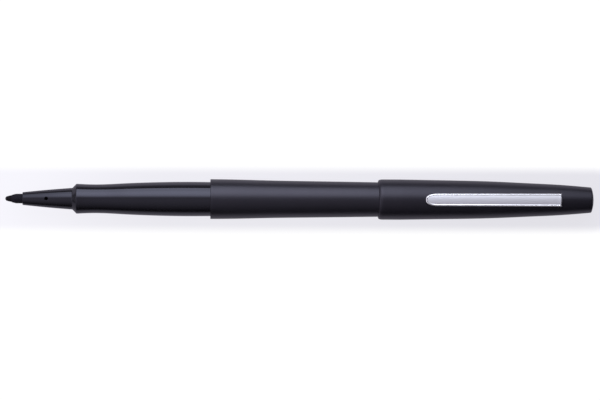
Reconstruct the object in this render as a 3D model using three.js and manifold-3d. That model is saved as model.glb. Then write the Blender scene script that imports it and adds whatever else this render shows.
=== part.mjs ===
// A fibre-tip pen with its cap pushed on the back of the barrel.
// Millimetres. +X runs along the pen from the nib to the closed end of the cap, +Z is up.
// The pen lies on the widest band of its cap, so z = 0 is the surface that it lies on.

import * as THREE from "three";
import { mergeVertices } from "three/addons/utils/BufferGeometryUtils.js";
import Module from "manifold-3d";

// Nib: a rod of bonded fibre, ground to a rounded point
const nibRadius = 0.87;
const nibTipRounding = 0.5;
const nibPointLength = 1.65;
const nibLength = 40;
const nibFit = 0.03;

// Point guard: the plastic sleeve that holds the nib and stops it from spreading
const guardWall = 0.39;
const guardLipWall = 0.04;
const guardBevelLength = 1.2;
const guardShownLength = 1.78;
const guardTailLength = 5.4;
const guardFit = 0.04;

// Front section: nose, chamfer and waisted grip in one glossy moulding
const noseFrontRadius = 1.72;
const noseRearRadius = 2.92;
const noseBulge = 0.07;
const noseLength = 13.37;
const noseEdgeRounding = 0.12;
const nibChannelRadius = 1.2;
const chamferLength = 1.1;
const gripLength = 36;
const gripCollarRadius = 4.04;
const gripWaistRadius = 3.865;
const gripSwellRadius = 4.19;
const gripHipRadius = 4.5;
const gripRearRadius = 4.64;
const gripEndRadius = 4.61;
const ventRadius = 0.47;
const ventBehindGuard = 1;
const spigotLength = 8;
const spigotFit = 0.05;
const snapBeadHeight = 0.12;
const snapBeadLength = 0.8;
const snapBeadFromEnd = 2.2;

// Barrel: a tapering tube, widest at the ledge where it meets the grip
const barrelLength = 81.1;
const barrelFrontRadius = 5.375;
const barrelShoulderRadius = 5.305;
const barrelBodyRadius = 5.11;
const barrelMiddleRadius = 4.91;
const barrelMouthRadius = 4.665;
const barrelEndRadius = 4.15;
const barrelWall = 0.75;
const barrelSocketWall = 1.1;
const barrelEdge = 0.12;

// Ink reservoir: a fibre core in a film sleeve, with the back of the nib pushed into it
const wrapFit = 0.1;
const wrapThickness = 0.15;
const coreFit = 0.03;
const nibInReservoir = 6.5;
const reservoirEndGap = 0.3;

// End plug: a hollow stopper in the back of the barrel
const plugStemLength = 5;
const plugWall = 0.8;
const plugHeadLength = 0.6;
const plugHeadDome = 0.25;
const plugFit = 0.05;

// Cap: its bore fits the barrel when posted, and clears the grip when it covers the nib
const capFit = 0.05;
const capLipWall = 0.73;
const capLipRounding = 0.4;
const capLipLeadIn = 0.25;
const capBandLength = 6;
const capParallelBore = 10;
const capWall = 0.6;
const capNeckWall = 0.88;
const capEndWall = 1.95;
const capEndDome = 0.4;
const capEndFillet = 0.5;
const capForeDrop = 0.195;
const capBellyDrop = 0.45;
const capShoulderDrop = 0.95;

// Inner cap: the sealing cup that closes round the nose when the cap covers the nib
const linerMouthRadius = 3.15;
const linerWall = 0.35;
const linerSealGap = 0.05;
const linerNoseGap = 0.08;
const linerNeckLength = 2;
const linerTipRoom = 0.7;
const linerEndWall = 0.5;
const linerEndGap = 0.1;
const linerFit = 0.05;
const postedGap = 0.3;

// Clip: one steel strip, bent down through a slot in the cap and hooked under its wall
const clipThickness = 0.5;
const clipTipWidth = 3.35;
const clipRootWidth = 3.46;
const clipLength = 36.75;
const clipNoseLength = 4;
const clipNoseEndWidth = 1.5;
const clipNoseCorner = 0.3;
const clipNoseCornerWidth = 2.5;
const clipNoseShoulder = 2.5;
const clipBevelWidth = 0.34;
const clipBevelDepth = 0.42;
const clipBendRadius = 0.4;
const clipRootRise = 0.85;
const clipTipRise = 0.45;
const clipFootLength = 1.9;
const clipFootWidth = 2.4;
const clipFootGap = 0.1;
const clipFlexRoom = 0.18;
const clipBehindNib = 5.93;
const bumpRadius = 0.9;
const bumpFromTip = 3.4;
const bumpGap = 0.1;
const slotSideGap = 0.15;
const slotFrontGap = 0.2;
const slotRearGap = 0.8;

// Gap between two faces that rest on each other
const seatGap = 0.03;

// Number of flat facets round every turned piece, a multiple of four so that one faces down
const facets = 32;

// Places along the pen, counted from the point of the nib
const guardFront = nibPointLength;
const noseFront = guardFront + guardBevelLength + guardShownLength;
const guardRear = noseFront + guardTailLength;
const noseRear = noseFront + noseLength;
const gripFront = noseRear + chamferLength;
const ledge = gripFront + gripLength;
const spigotRear = ledge + spigotLength;
const barrelFront = ledge + seatGap;
const barrelRear = barrelFront + barrelLength;
const plugRear = barrelRear + seatGap + plugHeadLength + plugHeadDome;
const reservoirFront = nibLength - nibInReservoir;
const reservoirRear = barrelRear - plugStemLength - reservoirEndGap;

// Radii of the pieces that sit in one another inside the pen
const guardBore = nibRadius + nibFit;
const guardRadius = guardBore + guardWall;
const guardSeat = guardRadius + guardFit;
const socketRadius = barrelFrontRadius - barrelSocketWall;
const spigotRadius = socketRadius - spigotFit;
const reservoirBore = barrelEndRadius - barrelWall;
const wrapRadius = reservoirBore - wrapFit;
const coreRadius = wrapRadius - wrapThickness - coreFit;

// Outlines, as lists of [x, radius]. The shares place each station along its piece.
const noseOutline = bulged([noseFront, noseFrontRadius], [noseRear, noseRearRadius], noseBulge);
const gripOutline = smooth([
  [gripFront, gripCollarRadius],
  [gripFront + 0.136 * gripLength, gripWaistRadius],
  [gripFront + 0.361 * gripLength, gripSwellRadius],
  [gripFront + 0.583 * gripLength, gripHipRadius],
  [gripFront + 0.811 * gripLength, gripRearRadius],
  [ledge, gripEndRadius],
]);
const barrelOutline = smooth([
  [barrelFront, barrelFrontRadius],
  [barrelFront + 0.074 * barrelLength, barrelShoulderRadius],
  [barrelFront + 0.178 * barrelLength, barrelBodyRadius],
  [barrelFront + 0.333 * barrelLength, barrelMiddleRadius],
  [barrelFront + 0.555 * barrelLength, barrelMouthRadius],
  [barrelRear, barrelEndRadius],
]);

// The cap over the nib: its mouth stops at the ledge, so a depth in the cap is also a distance
// forward of the ledge, and the inner cap's rim closes on the chamfer in front of the grip.
const chamferSlope = (gripCollarRadius - noseRearRadius) / chamferLength;
const linerRim = gripLength + (gripCollarRadius - linerMouthRadius) / chamferSlope + linerSealGap;
const linerBoreEnd = ledge + linerTipRoom;
const linerEnd = linerBoreEnd + linerEndWall;
const capBoreEnd = linerEnd + linerEndGap;
const capLength = capBoreEnd + capEndWall;

// The cap posted on the barrel: the end plug stops just short of the inner cap's rim
const postedDepth = linerRim - postedGap;
const capMouth = plugRear - postedDepth;
const totalLength = capMouth + capLength;

// Depths in the cap of the clip's leg, foot and slot, and of the inner cap's narrow end
const legRear = ledge - clipBehindNib;
const footFront = legRear - clipFootLength;
const slotFront = legRear - clipThickness - slotFrontGap;
const slotRear = legRear + slotRearGap;
const linerTailFront = footFront - clipThickness;
const linerNeckFront = linerTailFront - linerNeckLength;

// Radii at the clip's foot, from the nose outwards: inner cap, foot, bore and outside of the cap
const linerTailBore = radiusAt(noseOutline, ledge - linerTailFront) + linerNoseGap;
const linerTailRadius = linerTailBore + linerWall;
const footBottom = linerTailRadius + clipFootGap;
const footTop = footBottom + clipThickness;
const footBore = Math.hypot(footTop + clipFlexRoom, clipFootWidth / 2);
const capLegRadius = footBore + capWall;
const capSocketRadius = linerTailRadius + linerFit;
const capEndRadius = capSocketRadius + capNeckWall;
const postedBore = barrelEndRadius + capFit;
const mouthBore = radiusAt(barrelOutline, capMouth) + capFit;
const capRadius = mouthBore + capLipWall;
const capEdge = capLength - capEndDome - capEndFillet;
const capOutline = smooth([
  [capBandLength, capRadius],
  [0.33 * capEdge, capRadius - capForeDrop],
  [0.53 * capEdge, capRadius - capBellyDrop],
  [0.727 * capEdge, capRadius - capShoulderDrop],
  [legRear, capLegRadius],
  [capEdge, capEndRadius],
]);

// The strip's underside at its root and tip, as heights over the pen's axis
const clipTipDepth = legRear - clipLength;
const clipRootHeight = capLegRadius + clipRootRise;
const clipTipHeight = radiusAt(capOutline, clipTipDepth) + clipTipRise;
const clipSlope = Math.atan((clipTipHeight - clipRootHeight) / clipLength);

const wasm = await Module();
wasm.setup();

// Points of a line between two [x, radius] ends that swells by the bulge in its middle
function bulged([x0, r0], [x1, r1], bulge) {
  const curve = new THREE.QuadraticBezierCurve(
    new THREE.Vector2(x0, r0),
    new THREE.Vector2((x0 + x1) / 2, (r0 + r1) / 2 + 2 * bulge),
    new THREE.Vector2(x1, r1),
  );
  return curve.getPoints(6).map((p) => [p.x, p.y]);
}

// Points of a smooth curve through the stations, four steps from each to the next
function smooth(stations) {
  const curve = new THREE.SplineCurve(stations.map(([x, r]) => new THREE.Vector2(x, r)));
  return curve.getPoints(4 * (stations.length - 1)).map((p) => [p.x, p.y]);
}

// Points of a circular arc about [x, r], with angles in radians from +X
function arc([x, r], radius, from, to, steps) {
  return Array.from({ length: steps + 1 }, (_, i) => {
    const angle = from + ((to - from) * i) / steps;
    return [x + radius * Math.cos(angle), r + radius * Math.sin(angle)];
  });
}

// Points of a shallow dome, half an ellipse, from its rim at [x, r] to the axis
function dome([x, r], height, steps) {
  return Array.from({ length: steps + 1 }, (_, i) => {
    const angle = (Math.PI / 2) * (i / steps);
    return [x + height * Math.sin(angle), i === steps ? 0 : r * Math.cos(angle)];
  });
}

// Radius of an outline at x, on the straight line between the two points beside it
function radiusAt(outline, x) {
  const next = Math.max(1, outline.findIndex((point) => point[0] >= x));
  const [x0, r0] = outline[next - 1];
  const [x1, r1] = outline[next];
  return THREE.MathUtils.mapLinear(x, x0, x1, r0, r1);
}

// A solid of revolution about the pen's axis, from a profile of [x, radius] that starts and ends
// on the axis or closes on itself. The flat facets lie at the radius, their corners outside it.
function turned(profile) {
  const corner = 1 / Math.cos(Math.PI / facets);
  const points = profile.map(([x, r]) => new THREE.Vector2(r * corner, x));
  if (THREE.ShapeUtils.area(points) < 0) points.reverse();
  return new THREE.LatheGeometry(points, facets, Math.PI / facets).rotateZ(-Math.PI / 2);
}

function boxBetween([x0, x1], [y0, y1], [z0, z1]) {
  const box = new THREE.BoxGeometry(x1 - x0, y1 - y0, z1 - z0);
  return box.translate((x0 + x1) / 2, (y0 + y1) / 2, (z0 + z1) / 2);
}

// A closed three.js geometry as a manifold solid, without the empty triangles at the poles
function toManifold(geometry) {
  const bare = geometry.clone();
  bare.deleteAttribute("normal");
  bare.deleteAttribute("uv");
  const merged = mergeVertices(bare, 1e-5);
  const index = merged.index.array;
  const triangles = [];
  for (let i = 0; i < index.length; i += 3) {
    const [a, b, c] = index.slice(i, i + 3);
    if (a !== b && b !== c && c !== a) triangles.push(a, b, c);
  }
  const mesh = new wasm.Mesh({
    numProp: 3,
    vertProperties: new Float32Array(merged.attributes.position.array),
    triVerts: new Uint32Array(triangles),
  });
  return new wasm.Manifold(mesh);
}

function toGeometry(manifold) {
  const mesh = manifold.getMesh();
  const geometry = new THREE.BufferGeometry();
  geometry.setAttribute("position", new THREE.BufferAttribute(mesh.vertProperties, 3));
  geometry.setIndex(new THREE.BufferAttribute(mesh.triVerts, 1));
  geometry.computeVertexNormals();
  return geometry;
}

function nib() {
  const centre = [nibTipRounding, 0];
  const reach = nibPointLength - nibTipRounding;
  const tangent = Math.atan2(nibRadius, reach) + Math.acos(nibTipRounding / Math.hypot(reach, nibRadius));
  return turned([
    [0, 0],
    ...arc(centre, nibTipRounding, Math.PI, tangent, 4).slice(1),
    [nibPointLength, nibRadius],
    [nibLength, nibRadius],
    [nibLength, 0],
  ]);
}

function pointGuard() {
  return turned([
    [guardFront, guardBore],
    [guardFront, guardBore + guardLipWall],
    [guardFront + guardBevelLength, guardRadius],
    [guardRear, guardRadius],
    [guardRear, guardBore],
    [guardFront, guardBore],
  ]);
}

// A ring bead or groove on a round surface: the three points of its ridge, from front to back
function snapRing(radius) {
  const rear = spigotRear - snapBeadFromEnd;
  return [
    [rear - snapBeadLength, radius],
    [rear - snapBeadLength / 2, radius + snapBeadHeight],
    [rear, radius],
  ];
}

function frontSection() {
  const guardStop = guardRear + seatGap;
  const reservoirStop = reservoirFront - reservoirEndGap;
  const shell = turned([
    [noseFront, guardSeat],
    [noseFront, noseFrontRadius - noseEdgeRounding],
    [noseFront + noseEdgeRounding, radiusAt(noseOutline, noseFront + noseEdgeRounding)],
    ...noseOutline.slice(1),
    ...gripOutline,
    [ledge, spigotRadius],
    ...snapRing(spigotRadius),
    [spigotRear, spigotRadius],
    [spigotRear, reservoirBore],
    [reservoirStop, reservoirBore],
    [reservoirStop, nibChannelRadius],
    [guardStop, nibChannelRadius],
    [guardStop, guardSeat],
    [noseFront, guardSeat],
  ]);
  const ventHole = new THREE.CylinderGeometry(ventRadius, ventRadius, noseRearRadius, 16);
  ventHole.rotateX(Math.PI / 2);
  ventHole.translate(guardRear + ventBehindGuard, 0, (nibChannelRadius + noseRearRadius) / 2);
  return toGeometry(toManifold(shell).subtract(toManifold(ventHole)));
}

function barrel() {
  const socketRear = spigotRear + reservoirEndGap;
  const behindSocket = barrelOutline.filter(([x]) => x > socketRear + barrelSocketWall);
  const bore = behindSocket.map(([x, r]) => [x, r - barrelWall]);
  return turned([
    [barrelFront, socketRadius],
    [barrelFront, barrelFrontRadius - barrelEdge],
    [barrelFront + barrelEdge, radiusAt(barrelOutline, barrelFront + barrelEdge)],
    ...barrelOutline.slice(1),
    ...bore.reverse(),
    [socketRear, socketRadius],
    ...snapRing(socketRadius).reverse(),
    [barrelFront, socketRadius],
  ]);
}

function reservoirWrap() {
  return turned([
    [reservoirFront, wrapRadius - wrapThickness],
    [reservoirFront, wrapRadius],
    [reservoirRear, wrapRadius],
    [reservoirRear, wrapRadius - wrapThickness],
    [reservoirFront, wrapRadius - wrapThickness],
  ]);
}

function inkReservoir() {
  return turned([
    [nibLength + seatGap, 0],
    [nibLength + seatGap, nibRadius + nibFit],
    [reservoirFront, nibRadius + nibFit],
    [reservoirFront, coreRadius],
    [reservoirRear, coreRadius],
    [reservoirRear, 0],
  ]);
}

function endPlug() {
  const stemRadius = reservoirBore - plugFit;
  const stemFront = barrelRear - plugStemLength;
  const headFront = barrelRear + seatGap;
  const headRear = headFront + plugHeadLength;
  const headRadius = barrelEndRadius - barrelEdge;
  return turned([
    [headRear - plugWall, 0],
    [headRear - plugWall, stemRadius - plugWall],
    [stemFront, stemRadius - plugWall],
    [stemFront, stemRadius],
    [headFront, stemRadius],
    [headFront, headRadius],
    ...dome([headRear, headRadius], plugHeadDome, 4),
  ]);
}

// The cap's profile counts depths from its mouth
function capShell() {
  const lip = arc([capLipRounding, capRadius - capLipRounding], capLipRounding, Math.PI, Math.PI / 2, 4);
  const fillet = arc([capEdge, capEndRadius - capEndFillet], capEndFillet, Math.PI / 2, Math.PI / 8, 3);
  const domeRim = fillet[fillet.length - 1];
  const bore = (depth) => [depth, radiusAt(capOutline, depth) - capWall];
  const neck = bore(slotRear + slotSideGap);
  const shell = turned([
    ...lip,
    ...capOutline,
    ...fillet.slice(1),
    ...dome(domeRim, capLength - domeRim[0], 5).slice(1),
    [capBoreEnd, 0],
    [capBoreEnd, capSocketRadius],
    [neck[0] + neck[1] - capSocketRadius, capSocketRadius],
    neck,
    bore(legRear),
    bore(linerNeckFront),
    [postedDepth, postedBore],
    [capParallelBore, mouthBore],
    [capLipLeadIn, mouthBore],
    [0, mouthBore + capLipLeadIn],
    lip[0],
  ]);
  const slotHalf = clipRootWidth / 2 + slotSideGap;
  const slot = boxBetween([slotFront, slotRear], [-slotHalf, slotHalf], [footBottom, clipRootHeight]);
  return toGeometry(toManifold(shell).subtract(toManifold(slot)));
}

function innerCap() {
  return turned([
    [linerRim, linerMouthRadius],
    [linerRim, linerMouthRadius + linerWall],
    [linerNeckFront, linerMouthRadius + linerWall],
    [linerTailFront, linerTailRadius],
    [linerEnd, linerTailRadius],
    [linerEnd, 0],
    [linerBoreEnd, 0],
    [linerBoreEnd, linerTailBore],
    [linerTailFront, linerTailBore],
    [linerNeckFront, linerMouthRadius],
    [linerRim, linerMouthRadius],
  ]);
}

// The strip seen from the side: straight, bent down at its root, then hooked forward at its foot
function clipSide() {
  const half = clipThickness / 2;
  const bend = new THREE.Vector2(legRear - half - clipBendRadius, clipRootHeight + half - clipBendRadius);
  const foot = new THREE.Vector2(bend.x, footBottom + half + clipBendRadius);
  const beyondTip = clipLength + clipNoseLength;
  const up = new THREE.Vector2(Math.sin(clipSlope), Math.cos(clipSlope));
  const bendStart = up.multiplyScalar(clipBendRadius).add(bend);
  const path = new THREE.Path();
  path.moveTo(bendStart.x - beyondTip, bendStart.y + beyondTip * Math.tan(clipSlope));
  path.lineTo(bendStart.x, bendStart.y);
  path.absarc(bend.x, bend.y, clipBendRadius, Math.PI / 2 - clipSlope, 0, true);
  path.absarc(foot.x, foot.y, clipBendRadius, 0, -Math.PI / 2, true);
  path.lineTo(footFront, footBottom + half);
  return ribbon(path.getPoints(6), half);
}

// A closed shape that runs along both sides of a path of points, at half the thickness from it
function ribbon(points, half) {
  const sides = points.map((point, i) => {
    const before = points[Math.max(0, i - 1)];
    const after = points[Math.min(points.length - 1, i + 1)];
    const along = after.clone().sub(before).normalize();
    return new THREE.Vector2(-along.y, along.x).multiplyScalar(half);
  });
  const upper = points.map((point, i) => point.clone().add(sides[i]));
  const lower = points.map((point, i) => point.clone().sub(sides[i]));
  return new THREE.Shape([...upper, ...lower.reverse()]);
}

// The strip seen from above: a blunt bullet nose at x = 0, then straight sides to past its root
function clipPlan() {
  const nose = new THREE.CubicBezierCurve(
    new THREE.Vector2(0, clipNoseEndWidth / 2),
    new THREE.Vector2(clipNoseCorner, clipNoseCornerWidth / 2),
    new THREE.Vector2(clipNoseLength - clipNoseShoulder, clipTipWidth / 2),
    new THREE.Vector2(clipNoseLength, clipTipWidth / 2),
  );
  const beyond = clipLength + clipNoseLength;
  const side = [...nose.getPoints(8), new THREE.Vector2(beyond, clipRootWidth / 2)];
  const otherSide = side.map((point) => new THREE.Vector2(point.x, -point.y));
  return new THREE.Shape([...side, ...otherSide.reverse()]);
}

function clip() {
  const side = new THREE.ExtrudeGeometry(clipSide(), { depth: 2 * clipRootWidth, bevelEnabled: false });
  side.rotateX(Math.PI / 2).translate(0, clipRootWidth, 0);
  const drop = clipTipHeight + clipThickness;
  const plan = new THREE.ExtrudeGeometry(clipPlan(), {
    depth: drop - 2 * clipBevelDepth,
    bevelThickness: clipBevelDepth,
    bevelSize: clipBevelWidth,
    bevelOffset: -clipBevelWidth,
    bevelSegments: 1,
  });
  plan.translate(0, 0, clipBevelDepth - drop);
  plan.rotateY(clipSlope).translate(clipTipDepth, 0, clipTipHeight + clipThickness);
  let strip = toManifold(side).intersect(toManifold(plan));
  const footHalf = clipFootWidth / 2;
  for (const [inner, outer] of [[-clipRootWidth, -footHalf], [footHalf, clipRootWidth]]) {
    const reach = [footFront - clipThickness, legRear + clipThickness];
    const beside = boxBetween(reach, [inner, outer], [0, footTop + clipFlexRoom]);
    strip = strip.subtract(toManifold(beside));
  }
  return toGeometry(strip.add(toManifold(contactBump())));
}

// The pressed bump under the tip that holds cloth against the cap
function contactBump() {
  const depth = clipTipDepth + bumpFromTip;
  const underside = clipTipHeight - bumpFromTip * Math.tan(clipSlope);
  const height = underside - radiusAt(capOutline, depth) - bumpGap;
  const inStrip = clipThickness / 2;
  const profile = [...dome([0, bumpRadius], -height, 4).reverse(), [inStrip, bumpRadius], [inStrip, 0]];
  const points = profile.map(([z, r]) => new THREE.Vector2(r, z));
  return new THREE.LatheGeometry(points, 16).rotateX(Math.PI / 2).translate(depth, 0, underside);
}

function finish(color, roughness, metalness = 0) {
  return new THREE.MeshStandardMaterial({ color, roughness, metalness });
}

function addPiece(group, name, geometry, material) {
  const mesh = new THREE.Mesh(geometry, material);
  mesh.name = name;
  group.add(mesh);
}

const cap = new THREE.Group();
cap.position.x = capMouth;
addPiece(cap, "cap_shell", capShell(), finish(0x201f24, 0.45));
addPiece(cap, "inner_cap", innerCap(), finish(0x2a2a2e, 0.5));
addPiece(cap, "clip", clip(), finish(0xc9c9d2, 0.28, 1));

const pen = new THREE.Group();
pen.position.set(-totalLength / 2, 0, capRadius);
addPiece(pen, "nib", nib(), finish(0x1d1a1f, 0.95));
addPiece(pen, "point_guard", pointGuard(), finish(0x1b1b22, 0.4));
addPiece(pen, "front_section", frontSection(), finish(0x1c1b22, 0.12));
addPiece(pen, "barrel", barrel(), finish(0x201f24, 0.45));
addPiece(pen, "ink_reservoir", inkReservoir(), finish(0x17171c, 0.95));
addPiece(pen, "reservoir_wrap", reservoirWrap(), finish(0xd8dade, 0.3));
addPiece(pen, "end_plug", endPlug(), finish(0x201f24, 0.45));
pen.add(cap);

export default pen;
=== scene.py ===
import math
import bmesh
import bpy
import numpy as np
from mathutils import Matrix, Vector


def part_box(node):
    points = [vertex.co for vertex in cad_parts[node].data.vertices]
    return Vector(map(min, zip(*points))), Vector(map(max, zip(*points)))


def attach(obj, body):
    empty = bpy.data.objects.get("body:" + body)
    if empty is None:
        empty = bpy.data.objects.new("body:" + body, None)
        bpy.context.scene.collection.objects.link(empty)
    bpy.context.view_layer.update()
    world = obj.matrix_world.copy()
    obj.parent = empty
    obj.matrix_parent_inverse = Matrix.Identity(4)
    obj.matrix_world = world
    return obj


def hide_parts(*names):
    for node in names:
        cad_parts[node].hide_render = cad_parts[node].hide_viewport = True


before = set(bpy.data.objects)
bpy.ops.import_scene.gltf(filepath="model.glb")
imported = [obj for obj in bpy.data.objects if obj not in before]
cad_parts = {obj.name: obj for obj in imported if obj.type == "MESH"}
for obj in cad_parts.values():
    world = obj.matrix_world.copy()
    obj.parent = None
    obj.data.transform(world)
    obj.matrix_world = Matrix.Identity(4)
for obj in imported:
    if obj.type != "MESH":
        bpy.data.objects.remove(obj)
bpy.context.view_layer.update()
print("frame loaded:", ", ".join(sorted(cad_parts)))

mm = 0.001
barrelLow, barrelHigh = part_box("barrel")
axisHeight = (barrelLow.z + barrelHigh.z) / 2  # the pen's axis over the floor

# The numbers below are millimetres: x along the pen from the frame's origin, radius from the axis.
weldDistance = 0.0004
slimmestFace = 0.0002
seam = 0.01  # a profile's points nearer than this to a cut are left out
rimSteps = 4  # over a hole's rounded rim, and down its wall


def starts(node):
    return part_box(node)[0].x / mm


def ends(node):
    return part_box(node)[1].x / mm


def smoothRadius(stations, x):
    # natural cubic spline through [x, radius] stations: each span is a cubic, and slope and curvature
    # run on from one span to the next, so highlights run along it without a kink
    knots, radii = np.array(stations, float).T
    span = np.diff(knots)
    slope = np.diff(radii) / span
    inner = np.arange(1, len(knots) - 1)
    system = np.eye(len(knots))
    system[inner, inner - 1] = span[:-1]
    system[inner, inner] = 2 * (span[:-1] + span[1:])
    system[inner, inner + 1] = span[1:]
    right = np.zeros(len(knots))
    right[inner] = 6 * np.diff(slope)
    curl = np.linalg.solve(system, right)
    i = np.clip(np.searchsorted(knots, x) - 1, 0, len(span) - 1)
    b = (x - knots[i]) / span[i]
    a = 1 - b
    cubic = ((a**3 - a) * curl[i] + (b**3 - b) * curl[i + 1]) * span[i] ** 2 / 6
    return a * radii[i] + b * radii[i + 1] + cubic


def softened(corners, steps=5):
    # a line through [x, radius, cut] corners; each corner is cut back by its third number along both
    # sides and bridged by a parabola, (1-t)^2 A + 2t(1-t) corner + t^2 B
    corners = np.array(corners, float)
    t = np.linspace(0, 1, steps + 1)[:, None]
    parts = [corners[:1, :2]]
    for before, here, after in zip(corners[:-2], corners[1:-1], corners[2:]):
        corner, cut = here[:2], here[2]
        towardsA = (before[:2] - corner) / np.linalg.norm(before[:2] - corner)
        towardsB = (after[:2] - corner) / np.linalg.norm(after[:2] - corner)
        bridge = corner + cut * ((1 - t) ** 2 * towardsA + t**2 * towardsB)
        parts.append(bridge if cut > 0 else corner[None])
    return np.vstack(parts + [corners[-1:, :2]])


def turned(profile, angles):
    # surface of revolution: P(i, a) = (x_i, radius_i sin a, radius_i cos a), with a = 0 at the top
    x, radius = np.asarray(profile).T
    ring = np.stack([np.sin(angles), np.cos(angles)], axis=-1)
    across = radius[:, None, None] * ring[None]
    along = np.broadcast_to(x[:, None, None], (len(x), len(angles), 1))
    return np.concatenate([along, across], axis=-1)


def roundTheAxis(steps):
    return np.linspace(0, 2 * math.pi, steps + 1)


def pierced(outer, inner, hole):
    # Two turned surfaces, outer and inner, joined through a hole drilled down from the top. Around the
    # hole each surface has a block of its grid taken out, and rings run from the block's edge, at
    # (1-t) edge + t rim, to the rim |x/length|^n + |y/width|^n = 1, which is rounded over into the wall.
    blockLength = hole["halfLength"] + hole["margin"]
    blockWidth = hole["halfWidth"] + hole["margin"]
    halfAngle = math.asin(blockWidth / np.interp(hole["x"], outer[:, 0], outer[:, 1]))
    topAngles = np.linspace(-halfAngle, halfAngle, hole["across"] + 1)
    sideAngles = np.linspace(halfAngle, 2 * math.pi - halfAngle, hole["around"] + 1)
    angles = np.concatenate([sideAngles, topAngles[1:] + 2 * math.pi])
    across, along = (np.linspace(-1, 1, hole[way] + 1) for way in ("across", "along"))
    endSide, longSide = np.ones(hole["across"]), np.ones(hole["along"])
    u = np.concatenate([-endSide, along[:-1], endSide, along[:0:-1], [-1]])
    v = np.concatenate([across[:-1], longSide, across[:0:-1], -longSide, [-1]])
    heading = np.arctan2(v * blockWidth, u * blockLength)

    def rim(grow):
        length, width = hole["halfLength"] + grow, hole["halfWidth"] + grow
        n = hole["squareness"]
        lengthPart, widthPart = np.abs(np.cos(heading) / length), np.abs(np.sin(heading) / width)
        reach = (lengthPart**n + widthPart**n) ** (-1 / n)
        return np.stack([hole["x"] + reach * np.cos(heading), reach * np.sin(heading)], axis=-1)

    def onSurface(plan, section):
        radius = np.interp(plan[..., 0], section[:, 0], section[:, 1])
        height = np.sqrt(np.maximum(radius**2 - plan[..., 1] ** 2, 0))
        return np.concatenate([plan, height[..., None]], axis=-1)

    grids, brims = [], []
    for section, edge, side in ((outer, hole["edge"], 1), (inner, hole["innerEdge"], -1)):
        blockX = hole["x"] + along * blockLength
        block = np.stack([blockX, np.interp(blockX, section[:, 0], section[:, 1])], axis=-1)
        before = np.vstack([section[section[:, 0] < blockX[0] - seam], block[:1]])
        after = np.vstack([block[-1:], section[section[:, 0] > blockX[-1] + seam]])
        grids += [turned(before, angles), turned(after, angles), turned(block, sideAngles)]
        edgeX = hole["x"] + u * blockLength
        edgeRadius = np.interp(edgeX, section[:, 0], section[:, 1])
        blockEdge = np.stack([edgeX, edgeRadius * np.sin(v * halfAngle)], axis=-1)
        t = np.linspace(0, 1, hole["rings"] + 1)[:, None, None]
        patch = onSurface((1 - t) * blockEdge + t * rim(edge), section)
        turn = np.linspace(0, math.pi / 2, rimSteps + 1)[:, None]
        rounding = np.stack([onSurface(rim(edge * (1 - math.sin(a))), section) for a in turn[:, 0]])
        rounding[..., 2] -= side * edge * (1 - np.cos(turn))
        grids += [patch, rounding]
        brims.append(rounding[-1])
    t = np.linspace(0, 1, rimSteps + 1)[:, None, None]
    grids.append((1 - t) * brims[0] + t * brims[1])
    return grids, angles


def meshPiece(name, grids, material, sharpAbove=35, polish=None):
    # every grid becomes quads between neighbouring rows and columns; the grids' shared edges are then
    # welded, poles close by themselves, and the faces are turned outwards. polish has a number for
    # every point of every grid
    points, faces, count = [], [], 0
    for grid in grids:
        rows, columns = grid.shape[:2]
        index = count + np.arange(rows * columns).reshape(rows, columns)
        quads = np.stack([index[:-1, :-1], index[1:, :-1], index[1:, 1:], index[:-1, 1:]], axis=-1)
        points.append(grid.reshape(-1, 3))
        faces.append(quads.reshape(-1, 4))
        count += rows * columns
    places = np.concatenate(points) * mm + np.array([0, 0, axisHeight])
    mesh = bpy.data.meshes.new(name)
    mesh.from_pydata(places.tolist(), [], np.concatenate(faces).tolist())
    if polish is not None:
        mark = mesh.attributes.new("polish", "FLOAT", "POINT")
        mark.data.foreach_set("value", np.concatenate([part.ravel() for part in polish]))
    work = bmesh.new()
    work.from_mesh(mesh)
    bmesh.ops.remove_doubles(work, verts=work.verts, dist=weldDistance * mm)
    bmesh.ops.dissolve_degenerate(work, edges=work.edges, dist=slimmestFace * mm)
    bmesh.ops.recalc_face_normals(work, faces=work.faces)
    work.to_mesh(mesh)
    work.free()
    mesh.shade_smooth()
    mesh.set_sharp_from_angle(angle=math.radians(sharpAbove))
    mesh.materials.append(material)
    piece = bpy.data.objects.new(name, mesh)
    bpy.context.scene.collection.objects.link(piece)
    return piece


def standFor(piece, node, body):
    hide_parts(node)
    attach(piece, body)
    print("piece:", piece.name, len(piece.data.polygons), "faces")


# Shared effects, as node groups that put out colours, masks, values and heights


def newGroup(name, inputs, outputs):
    group = bpy.data.node_groups.new(name, "ShaderNodeTree")
    for label, kind, value in inputs:
        socket = group.interface.new_socket(name=label, in_out="INPUT", socket_type=kind)
        socket.default_value = value
    for label, kind in outputs:
        group.interface.new_socket(name=label, in_out="OUTPUT", socket_type=kind)
    entry, leave = group.nodes.new("NodeGroupInput"), group.nodes.new("NodeGroupOutput")
    return group, entry, leave


def feed(tree, socket, value):
    # a socket gets a link from another one, or else a plain number or colour
    if isinstance(value, bpy.types.NodeSocket):
        tree.links.new(value, socket)
    else:
        socket.default_value = value


def addMath(tree, operation, *values):
    node = tree.nodes.new("ShaderNodeMath")
    node.operation = operation
    for socket, value in zip(node.inputs, values):
        feed(tree, socket, value)
    return node.outputs[0]


def addMix(tree, kind, factor, first, second):
    node = tree.nodes.new("ShaderNodeMix")
    node.data_type = kind
    for label, value in (("Factor", factor), ("A", first), ("B", second)):
        feed(tree, node.inputs[label], value)
    return node


def addRange(tree, value, low, high, interpolation="LINEAR"):
    # 0 where the value is low, 1 where it is high
    node = tree.nodes.new("ShaderNodeMapRange")
    node.interpolation_type = interpolation
    for label, number in (("Value", value), ("From Min", low), ("From Max", high)):
        feed(tree, node.inputs[label], number)
    return node.outputs["Result"]


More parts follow.
